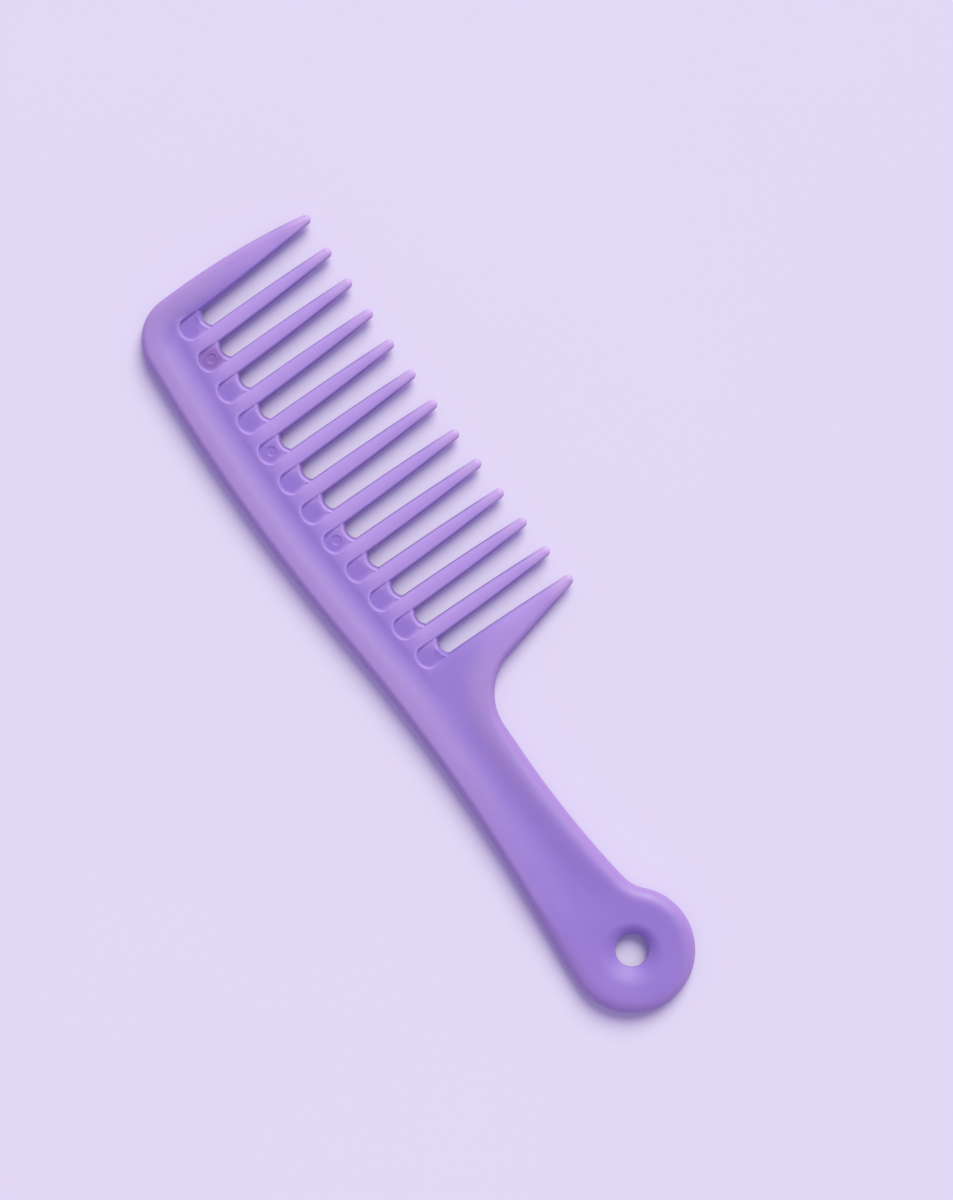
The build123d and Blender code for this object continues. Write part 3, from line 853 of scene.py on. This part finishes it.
# the moulding as one plain mesh
planObject = bpy.data.objects.new("combPlan", planMesh)
bpy.context.scene.collection.objects.link(planObject)
modifier = planObject.modifiers.new("raise", "NODES")
modifier.node_group = group
for item in group.interface.items_tree:
    if item.item_type == "SOCKET" and item.in_out == "INPUT" and item.name in shape:
        modifier[item.identifier] = shape[item.name]
    if item.item_type == "SOCKET" and item.in_out == "INPUT" and item.name == "Material":
        modifier[item.identifier] = plastic
depsgraph = bpy.context.evaluated_depsgraph_get()
combMesh = bpy.data.meshes.new_from_object(planObject.evaluated_get(depsgraph))
planObject.modifiers.remove(modifier)
bpy.data.objects.remove(planObject)
combMesh.name = "comb_moulding"
colourMasks = ("tipShare", "stainShare", "toothLightShare", "edgeHighlightShare")
for attribute in list(combMesh.attributes):
    if attribute.name in measured and attribute.name not in colourMasks:
        combMesh.attributes.remove(attribute)
moulding = bpy.data.objects.new("comb_moulding", combMesh)
bpy.context.scene.collection.objects.link(moulding)
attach(moulding, "root")
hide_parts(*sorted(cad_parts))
print("moulding raised:", len(combMesh.vertices), "points,", len(combMesh.polygons), "faces")

# table
half = table["size"] / 2
tableMesh = bpy.data.meshes.new("table_top")
tableMesh.from_pydata(
    [(-half, -half, cadLow.z), (half, -half, cadLow.z),
     (half, half, cadLow.z), (-half, half, cadLow.z)],
    [], [(0, 1, 2, 3)])
tableMesh.materials.append(paper)
tableTop = bpy.data.objects.new("table_top", tableMesh)
bpy.context.scene.collection.objects.link(tableTop)

# light and camera
light = {"sunStrength": 2.85, "sunAngle": 38.0, "sunHeight": 43.0, "sunFrom": 127.0,
         "sunColour": (0.93, 1.0, 0.72),
         "skyColour": (0.73, 0.65, 1.0, 1.0), "skyStrength": 0.57}
sun = bpy.data.lights.new("softbox", "SUN")
sun.energy = light["sunStrength"]
sun.angle = radians(light["sunAngle"])
sun.color = light["sunColour"]
sunObject = bpy.data.objects.new("softbox", sun)
sunHeight = radians(light["sunHeight"])
toSun = Vector((*(polar(radians(light["sunFrom"])) * cos(sunHeight)), sin(sunHeight)))
sunObject.rotation_euler = toSun.to_track_quat("Z", "Y").to_euler()
bpy.context.scene.collection.objects.link(sunObject)
world = bpy.data.worlds.new("studio")
world.use_nodes = True
world.node_tree.nodes["Background"].inputs["Color"].default_value = light["skyColour"]
world.node_tree.nodes["Background"].inputs["Strength"].default_value = light["skyStrength"]
bpy.context.scene.world = world

view = {"aimX": -0.1044, "aimY": 0.0194, "turn": 55.5, "distance": 0.80, "longSide": 0.3328}
camera = bpy.data.cameras.new("camera")
camera.sensor_width = 36.0
camera.lens = camera.sensor_width * view["distance"] / view["longSide"]
cameraObject = bpy.data.objects.new("camera", camera)
cameraObject.location = (view["aimX"], view["aimY"], view["distance"])
cameraObject.rotation_euler = (0.0, 0.0, radians(view["turn"]))
bpy.context.scene.collection.objects.link(cameraObject)
bpy.context.scene.camera = cameraObject
bpy.context.scene.view_settings.view_transform = "Standard"

bpy.context.view_layer.update()
